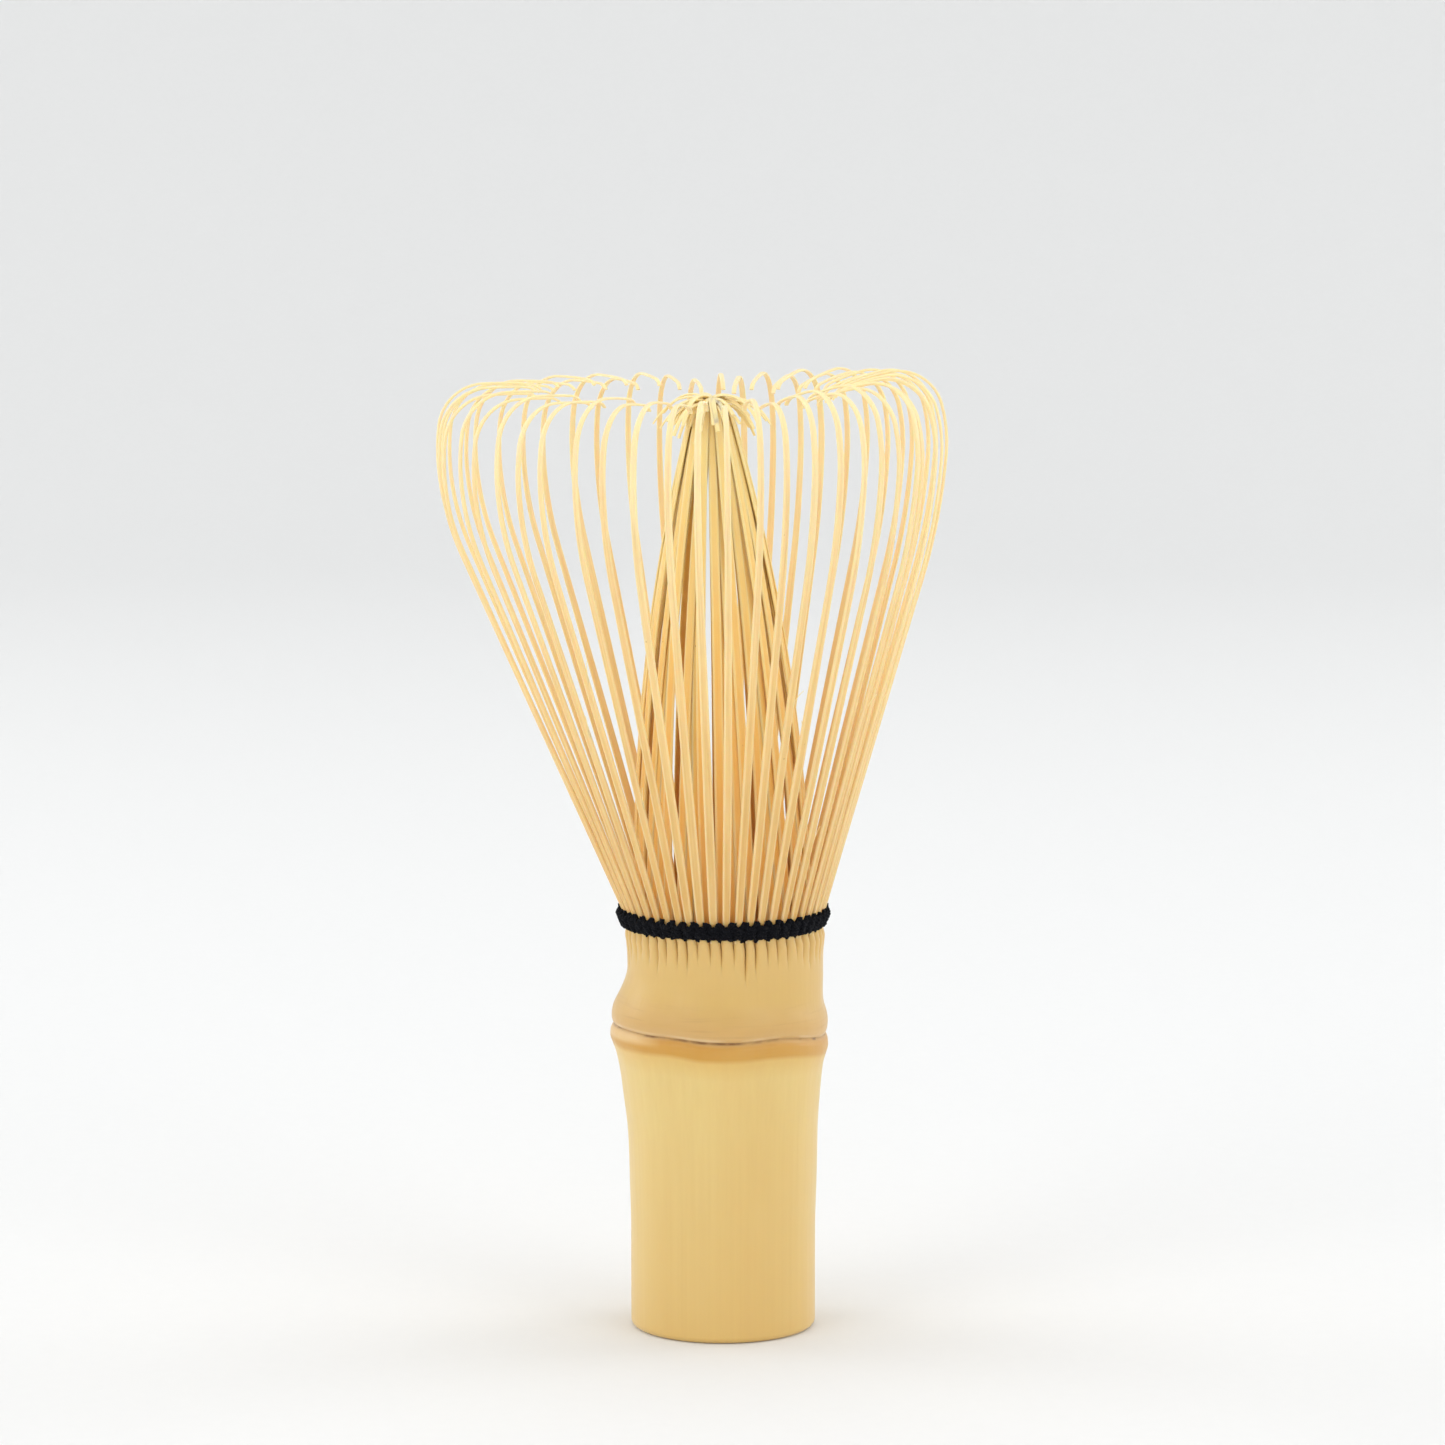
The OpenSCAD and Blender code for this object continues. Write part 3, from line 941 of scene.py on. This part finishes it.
def bamboo_inside(name, pale, deep):
    """Cut and pared faces, without the skin: coarse fibres, matt."""
    n = Nodes(name)
    place = n.add("TexCoord").outputs["Object"]
    fibre = n.noise(place, (1100.0, 1100.0, 30.0), 4.0, 0.65)
    tint = n.mix(n.ramp(fibre, [(0.3, 0.0), (0.75, 1.0)]), pale, deep)
    stain = n.noise(place, 190.0, 3.0)
    tint = n.mix(n.ramp(stain, [(0.5, 0.0), (0.75, 0.5)]), tint, srgb(186, 134, 74))
    rough = n.ramp(fibre, [(0.2, 0.6), (0.8, 0.78)])
    return n.finish(
        Base_Color=tint, Roughness=rough, Normal=n.bump(fibre, 0.00005),
        Subsurface_Weight=0.3, Subsurface_Radius=(0.0004, 0.0003, 0.0001), Subsurface_Scale=1.0,
    )


def bamboo_end_grain():
    """The sawn foot: pale ground with the dark ends of the fibre bundles, closest under the skin."""
    n = Nodes("bamboo_end_grain")
    place = n.add("TexCoord").outputs["Object"]
    axes = n.add("SeparateXYZ", {0: place}).outputs
    flat = n.add("CombineXYZ", {0: axes["X"], 1: axes["Y"]}).outputs[0]
    radius = n.add("VectorMath", {0: flat}, operation="LENGTH").outputs["Value"]
    outward = n.add("MapRange", {0: radius, 1: WALL_SPAN[0], 2: WALL_SPAN[1]}).outputs[0]
    bundles = n.add("TexVoronoi", {"Vector": flat, "Scale": 1500.0}).outputs["Distance"]
    dots = n.ramp(bundles, [(0.22, 1.0), (0.4, 0.0)])
    dots = n.sum("MULTIPLY", dots, n.ramp(outward, [(0.0, 0.25), (1.0, 0.95)]))
    ground = n.mix(outward, srgb(236, 212, 160), srgb(224, 190, 128))
    tint = n.mix(dots, ground, srgb(158, 110, 58))
    saw = n.noise(place, (2600.0, 180.0, 180.0), 3.0)
    rough = n.ramp(saw, [(0.3, 0.62), (0.7, 0.8)])
    return n.finish(Base_Color=tint, Roughness=rough, Normal=n.bump(saw, 0.00003))


def bamboo_tine(name, low, middle, high, tip_start, variety, glow, depth):
    """Split tines: long fibres, a tint of each tine's own, pale pared edges with a painted highlight, and
    pale dry tips.

    low, middle and high are the tints by height, tip_start is how far along a tine its tip starts to dry,
    variety is how much tines and fibres differ, and glow and depth are how light spreads under the surface.
    """
    n = Nodes(name)
    place = n.add("TexCoord").outputs["Object"]
    grain = n.add("Attribute", attribute_name="grain").outputs["Vector"]
    bare_and_highlight = n.add("Attribute", attribute_name="bare_and_highlight").outputs["Fac"]
    axes = n.add("SeparateXYZ", {0: place}).outputs
    along = n.add("SeparateXYZ", {0: grain}).outputs
    share = n.add("MapRange", {0: axes["Z"], 1: TINE_SPAN[0], 2: TINE_SPAN[1]}).outputs[0]
    tint = n.ramp(share, [(0.0, srgb(206, 156, 88)), (0.12, low), (0.5, middle), (0.86, high), (1.0, high)])
    own = n.add("TexWhiteNoise", {"W": along["Z"]}, noise_dimensions="1D")
    own_share = n.ramp(own.outputs["Value"], [(0.0, 0.0), (1.0, variety)])
    tint = n.mix(own_share, tint, srgb(228, 178, 98))
    fibre = n.noise(grain, (5.0, 0.1, 3.7), 3.0, 0.6)
    tint = n.mix(n.ramp(fibre, [(0.42, 0.0), (0.7, variety)]), tint, srgb(206, 156, 84))
    patch = n.noise(grain, (0.8, 0.09, 5.3), 2.0)
    tint = n.mix(n.ramp(patch, [(0.45, 0.0), (0.75, 0.25)]), tint, srgb(250, 226, 170))
    # Pared edges are paler without their skin, and the same mix paints a highlight along them, more on the
    # -across edge
    tint = n.mix(n.sum("MULTIPLY", bare_and_highlight, 0.45), tint, srgb(255, 238, 190))
    dry = n.add("MapRange", {0: along["Y"], 1: tip_start, 2: tip_start + DRY_LENGTH}).outputs[0]
    tint = n.mix(n.sum("MULTIPLY", dry, 0.6), tint, srgb(255, 230, 180))
    nicks = n.sum("MULTIPLY", specks(n, grain, 2.6, 0.05, 0.12), 0.7)
    tint = n.mix(nicks, tint, srgb(158, 112, 64))
    rough = n.ramp(fibre, [(0.3, 0.42), (0.75, 0.56)])
    return n.finish(
        Base_Color=tint, Roughness=rough, Normal=n.bump(fibre, 0.00003), Specular_IOR_Level=0.3,
        Subsurface_Weight=glow, Subsurface_Radius=depth, Subsurface_Scale=1.0,
    )


def cotton_thread():
    """Black spun cotton: soft, with fine fibres along the twist."""
    n = Nodes("cotton_thread")
    grain = n.add("Attribute", attribute_name="grain").outputs["Vector"]
    fibre = n.noise(grain, (16.0, 2.2, 1.0), 4.0, 0.65)
    tint = n.mix(n.ramp(fibre, [(0.3, 0.0), (0.8, 1.0)]), srgb(5, 6, 9), srgb(18, 19, 25))
    rough = n.ramp(fibre, [(0.3, 0.8), (0.8, 0.95)])
    relief = n.bump(fibre, 0.00006)
    return n.finish(
        Base_Color=tint, Roughness=rough, Normal=relief, Sheen_Weight=0.06, Sheen_Roughness=0.5,
        Sheen_Tint=srgb(150, 155, 170), Specular_IOR_Level=0.12,
    )


# ---------------------------------------------------------------- studio

# The sweep of paper: its flat floor, its curved rise and its wall, in metres
COVE_FLAT_R = 0.9
COVE_RISE_R = 0.7
COVE_WALL = 1.2
# (name, place, diameter, power, colour) of the lights, which all face the whisk's middle
LIGHTS = [
    ("key", (-1.0, -1.0, 0.7), 0.9, 4.6, (1, 0.985, 0.96)),
    ("fill", (1.0, -1.0, 0.6), 0.9, 3.8, (1, 0.99, 0.98)),
    ("top", (0, 0.1, 1.1), 0.7, 2.9, (1, 1, 1)),
    ("rim_left", (-1.1, 0.45, 0.5), 0.8, 3.0, (1, 1, 1)),
    ("rim_right", (1.1, 0.45, 0.5), 0.8, 3.0, (1, 1, 1)),
]
LIT_POINT = (0, 0, 0.06)
SKY_COLOUR = (0.95, 0.97, 1.0, 1)
SKY_STRENGTH = 0.66
# The camera's lens and sensor in millimetres, its place in metres and its look downwards in degrees
LENS = 134.98
SENSOR = 36
CAMERA_PLACE = (-0.0001, -0.65, 0.16)
CAMERA_DIP = 7.51


def studio_paper():
    """Matt paper, almost white."""
    n = Nodes("studio_paper")
    place = n.add("TexCoord").outputs["Object"]
    tooth = n.noise(place, 500.0, 2.0)
    tint = n.mix(tooth, srgb(237, 237, 236), srgb(239, 239, 238))
    return n.finish(Base_Color=tint, Roughness=0.9, Specular_IOR_Level=0.1)


def make_cove():
    """A round sweep of pale paper: flat floor, curved rise and an upright wall all round."""
    outline = [(0.0, 0.0), (COVE_FLAT_R * 0.3, 0.0), (COVE_FLAT_R, 0.0)]
    for k in range(1, 17):
        a = math.pi / 2 * k / 16
        outline.append((COVE_FLAT_R + COVE_RISE_R * math.sin(a), COVE_RISE_R * (1 - math.cos(a))))
    outline.append((COVE_FLAT_R + COVE_RISE_R, COVE_WALL))
    columns = 96
    mesh = bpy.data.meshes.new("cove")
    work = bmesh.new()
    rings = []
    for radius, height in outline:
        ring = []
        for k in range(columns):
            a = math.tau * k / columns
            ring.append(work.verts.new((radius * math.cos(a), radius * math.sin(a), height)))
        rings.append(ring)
    for a, b in zip(rings, rings[1:]):
        for k in range(columns):
            n = (k + 1) % columns
            work.faces.new((a[k], b[k], b[n], a[n]))
    bmesh.ops.remove_doubles(work, verts=work.verts, dist=1e-6)
    for face in work.faces:
        face.smooth = True
    work.to_mesh(mesh)
    work.free()
    mesh.materials.append(studio_paper())
    cove = bpy.data.objects.new("studio_cove", mesh)
    bpy.context.scene.collection.objects.link(cove)


def area_light(name, place, size, power, colour):
    """A round soft light that faces the whisk."""
    light = bpy.data.lights.new(name, "AREA")
    light.shape = "DISK"
    light.size = size
    light.energy = power
    light.color = colour
    lamp = bpy.data.objects.new(name, light)
    lamp.location = place
    lamp.rotation_euler = (Vector(place) - Vector(LIT_POINT)).to_track_quat("Z", "Y").to_euler()
    bpy.context.scene.collection.objects.link(lamp)


def make_light():
    """A bright pale room, with two broad soft lights in front, one above and one at each side behind."""
    world = bpy.data.worlds.new("studio")
    world.use_nodes = True
    sky = world.node_tree.nodes["Background"]
    sky.inputs["Color"].default_value = SKY_COLOUR
    sky.inputs["Strength"].default_value = SKY_STRENGTH
    bpy.context.scene.world = world
    for light in LIGHTS:
        area_light(*light)


def make_camera():
    """A long lens in front of the whisk, above it and looking slightly down."""
    data = bpy.data.cameras.new("camera")
    data.lens = LENS
    data.sensor_width = SENSOR
    data.clip_end = 20
    camera = bpy.data.objects.new("camera", data)
    camera.location = CAMERA_PLACE
    camera.rotation_euler = (math.radians(90 - CAMERA_DIP), 0, 0)
    bpy.context.scene.collection.objects.link(camera)
    bpy.context.scene.camera = camera
    bpy.context.scene.view_settings.view_transform = "Standard"


# ---------------------------------------------------------------- making

make_camera()
make_light()
make_cove()

SKIN = bamboo_skin()
INSIDE = bamboo_inside("bamboo_inside", srgb(234, 190, 116), srgb(208, 156, 86))
OUTER_TINE = bamboo_tine(
    "bamboo_outer_tine", srgb(222, 182, 112), srgb(244, 215, 150), srgb(254, 236, 186), 58, 0.32, 0.6,
    (0.0003, 0.0002, 0.0001),
)
# The inner tines' deeper, more saturated orange is partly bamboo colour and partly painted light: the glow
# of light shining through and bouncing inside the bundle
INNER_TINE = bamboo_tine(
    "bamboo_inner_tine", srgb(255, 192, 100), srgb(255, 207, 122), srgb(255, 223, 150), 63, 0.14, 0.7,
    (0.0003, 0.0003, 0.0002),
)
COTTON = cotton_thread()

make_handle(SKIN, bamboo_end_grain(), INSIDE)
make_septum(INSIDE)
make_head(SKIN, INSIDE)
for number in range(STAVES):
    make_outer_tines(number, OUTER_JOINTS[number], OUTER_TINE)
    make_inner_tines(number, INNER_JOINTS[number], INNER_TINE)
for number in range(1, 5):
    make_turn(number, COTTON)
make_stitches(COTTON)
make_weave(COTTON)
make_knot(COTTON)
